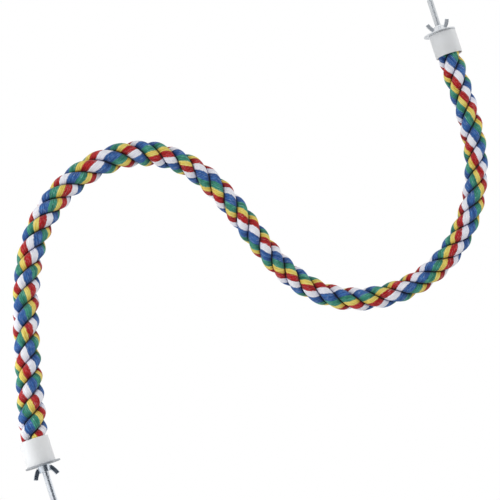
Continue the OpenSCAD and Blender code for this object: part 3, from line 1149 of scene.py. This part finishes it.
def wing(side):
    """One wing: a flat section with round corners, spun on an arc from the hub to a square tip."""
    lean = math.radians(ROOT_LEAN)
    middle_x = WING_ROOT - WING_BEND * math.cos(lean)
    middle_z = WING_FOOT + WING_BEND * math.sin(lean)
    deselect()
    bpy.ops.mesh.primitive_plane_add(size=1)
    piece = named("wing")
    piece.scale = (WING_W, WING_T, 1)
    keep_place(piece)
    bpy.ops.object.mode_set(mode="EDIT")
    bpy.ops.mesh.select_mode(type="VERT")
    bpy.ops.mesh.select_all(action="SELECT")
    bpy.ops.mesh.bevel(offset=WING_EDGE, offset_type="OFFSET", segments=3, affect="VERTICES")
    bpy.ops.object.mode_set(mode="OBJECT")
    settle(piece, Matrix.Translation((WING_ROOT, 0, WING_FOOT)) @ Matrix.Rotation(lean, 4, "Y"))
    bpy.ops.object.mode_set(mode="EDIT")
    bpy.ops.mesh.select_mode(type="FACE")
    bpy.ops.mesh.select_all(action="SELECT")
    bpy.ops.mesh.spin(
        steps=WING_STEPS,
        angle=math.radians(ROOT_LEAN - TIP_LEAN),
        center=(middle_x, 0, middle_z),
        axis=(0, 1, 0),
    )
    bpy.ops.mesh.select_all(action="SELECT")
    bpy.ops.mesh.fill_holes(sides=0)
    bpy.ops.mesh.normals_make_consistent(inside=False)
    bpy.ops.transform.rotate(
        value=side * math.pi, orient_axis="Z", center_override=(0, 0, 0)
    )
    bpy.ops.object.mode_set(mode="OBJECT")
    return piece


def wing_nut(end):
    """A cast wing nut: hub and wings joined, their corners filled as in a casting, then bored."""
    piece = cone(end.name + "_wing_nut_cast", HUB_SIDES, HUB_R, HUB_TOP_R, 0, HUB_H)
    for side in (0, 1):
        cut_with(piece, wing(side), "UNION")
    modify(piece, "REMESH", mode="VOXEL", voxel_size=CAST_VOXEL)
    modify(piece, "SMOOTH", **CAST_SOFTENING)
    cut_with(piece, rod("bore", BORE_SIDES, NUT_BORE_R, -HUB_H, 2 * HUB_H))
    inner = NUT_BORE_R - COUNTERSINK
    outer = NUT_BORE_R + COUNTERSINK
    low = HUB_H - COUNTERSINK
    high = HUB_H + COUNTERSINK
    cut_with(piece, cone("countersink", BORE_SIDES, inner, outer, low, high))
    outward(piece)
    smooth(piece, CAST_CREASE)
    turn = Matrix.Rotation(math.radians(NUT_TURN[end.name]), 4, "Z")
    settle(piece, end.matrix(end.on_bolt + WASHER_T * end.z) @ turn)
    dress(piece, zinc_material(end.name + "_nut_zinc", end, NUT_ZINC_PAINTED_LIGHT_AND_SHADE, NUT_SMOOTHEST))
    take_over(piece, end.name + "_wing_nut")


# The studio


def aim(thing, target):
    """Turns a lamp or a card to face a point."""
    thing.rotation_euler = (Vector(target) - thing.location).to_track_quat("-Z", "Y").to_euler()


def place_camera():
    """The photograph's camera: level, straight at the back, from about a metre."""
    data = bpy.data.cameras.new("camera")
    data.lens = CAMERA_LENS
    data.sensor_width = SENSOR_WIDTH
    camera = bpy.data.objects.new("camera", data)
    bpy.context.scene.collection.objects.link(camera)
    camera.location = CAMERA_PLACE
    camera.rotation_euler = (math.pi / 2, 0, 0)
    bpy.context.scene.camera = camera


def background_rays(w):
    """1 for the rays that see the background: the camera's, and those off metal or through glass."""
    path = w.node("ShaderNodeLightPath")
    seen = w.math("ADD", path.outputs["Is Camera Ray"], path.outputs["Is Glossy Ray"], clamp=True)
    return w.math("ADD", seen, path.outputs["Is Transmission Ray"], clamp=True)


def paper_material():
    """Pale paper that keeps the perch's shadow, and is lit to plain white away from it."""
    material, w, shader = new_material("studio_paper")
    place = w.node("ShaderNodeTexCoord").outputs["Object"]
    away = w.node("ShaderNodeVectorMath", {0: place}, operation="LENGTH").outputs["Value"]
    grain = w.noise(place, scale=40, detail=3)
    w.put(shader.inputs["Base Color"], w.mix(grain, rgba(PAPER), rgba(PAPER_GRAIN)))
    shader.inputs["Roughness"].default_value = 0.95
    shader.inputs["Specular IOR Level"].default_value = 0.1
    white = w.node("ShaderNodeEmission", {"Color": rgba((1, 1, 1)), "Strength": 1.0})
    cleared = w.stretch(away, (SHADOW_REACH, BRIGHT_FROM), WHOLE)
    lit = w.math("MULTIPLY", background_rays(w), cleared)
    mixed = w.node("ShaderNodeMixShader", {0: lit})
    w.put(mixed.inputs[1], shader.outputs[0])
    w.put(mixed.inputs[2], white.outputs[0])
    output = next(n for n in w.nodes if n.type == "OUTPUT_MATERIAL")
    w.put(output.inputs["Surface"], mixed.outputs[0])
    return material


def light_world():
    """An even pale light from all round, seen as white."""
    world = bpy.data.worlds.new("studio")
    bpy.context.scene.world = world
    world.use_nodes = True
    w = Wiring(world.node_tree)
    w.nodes.clear()
    light = w.node("ShaderNodeBackground", {"Color": rgba((1, 1, 1)), "Strength": WORLD_LEVEL})
    white = w.node("ShaderNodeBackground", {"Color": rgba((1, 1, 1)), "Strength": 1.0})
    mixed = w.node("ShaderNodeMixShader", {0: background_rays(w)})
    w.put(mixed.inputs[1], light.outputs[0])
    w.put(mixed.inputs[2], white.outputs[0])
    w.node("ShaderNodeOutputWorld", {"Surface": mixed.outputs[0]})


def area_lamp(name, place, size, power, mirrored=True):
    """A soft square lamp that faces the middle of the perch, with or without its reflection."""
    data = bpy.data.lights.new(name, "AREA")
    data.size = size
    data.energy = power
    lamp = bpy.data.objects.new(name, data)
    bpy.context.scene.collection.objects.link(lamp)
    lamp.location = place
    lamp.visible_glossy = mirrored
    aim(lamp, MIDDLE)


def painted_reflection_card(name, place, size, colour):
    """A painted reflection: a glowing card by the camera, hidden from the camera, the light and the
    shadows, which only shows as a darker band in bright metal.
    """
    deselect()
    bpy.ops.mesh.primitive_plane_add(size=1, location=place)
    card = named(name)
    card.scale = (*size, 1)
    aim(card, MIDDLE)
    keep_place(card)
    material, w, shader = new_material(name)
    shader.inputs["Base Color"].default_value = rgba((0, 0, 0))
    shader.inputs["Emission Color"].default_value = rgba(colour)
    shader.inputs["Emission Strength"].default_value = 1.0
    shader.inputs["Specular IOR Level"].default_value = 0.0
    dress(card, material)
    card.visible_camera = False
    card.visible_diffuse = False
    card.visible_shadow = False


def studio():
    """Floor, world, lamps and the two glowing cards of painted reflection."""
    paper = paper_material()
    deselect()
    bpy.ops.mesh.primitive_plane_add(size=FLOOR_SIZE, location=(MIDDLE.x, 0, FLOOR_HEIGHT))
    floor = named("floor")
    dress(floor, paper)
    light_world()
    area_lamp("key", KEY_PLACE, KEY_SIZE, KEY_POWER, mirrored=False)
    area_lamp("fill", FILL_PLACE, FILL_SIZE, FILL_POWER, mirrored=False)
    area_lamp("front", FRONT_PLACE, FRONT_SIZE, FRONT_POWER)
    painted_reflection_card("dark_card", *DARK_PAINTED_REFLECTION)
    painted_reflection_card("grey_card", *GREY_PAINTED_REFLECTION)


# The perch

bpy.context.scene.view_settings.view_transform = "Standard"
place_camera()
studio()

for strand_number, strand_slot in enumerate(("cotton_blue", "cotton_red", "cotton_yellow")):
    take_over(strand(strand_number), "strand_%d" % (strand_number + 1))

for perch_end, washer_slip in ((LOWER, 0), (UPPER, UPPER_WASHER_SLIP)):
    cap(perch_end)
    bolt(perch_end)
    washer(perch_end, washer_slip)
    wing_nut(perch_end)

dress(frame["nodes"]["core_wire"], wire_material())
for plug in ("lower_glue_plug", "upper_glue_plug"):
    dress(frame["nodes"][plug], glue_material())
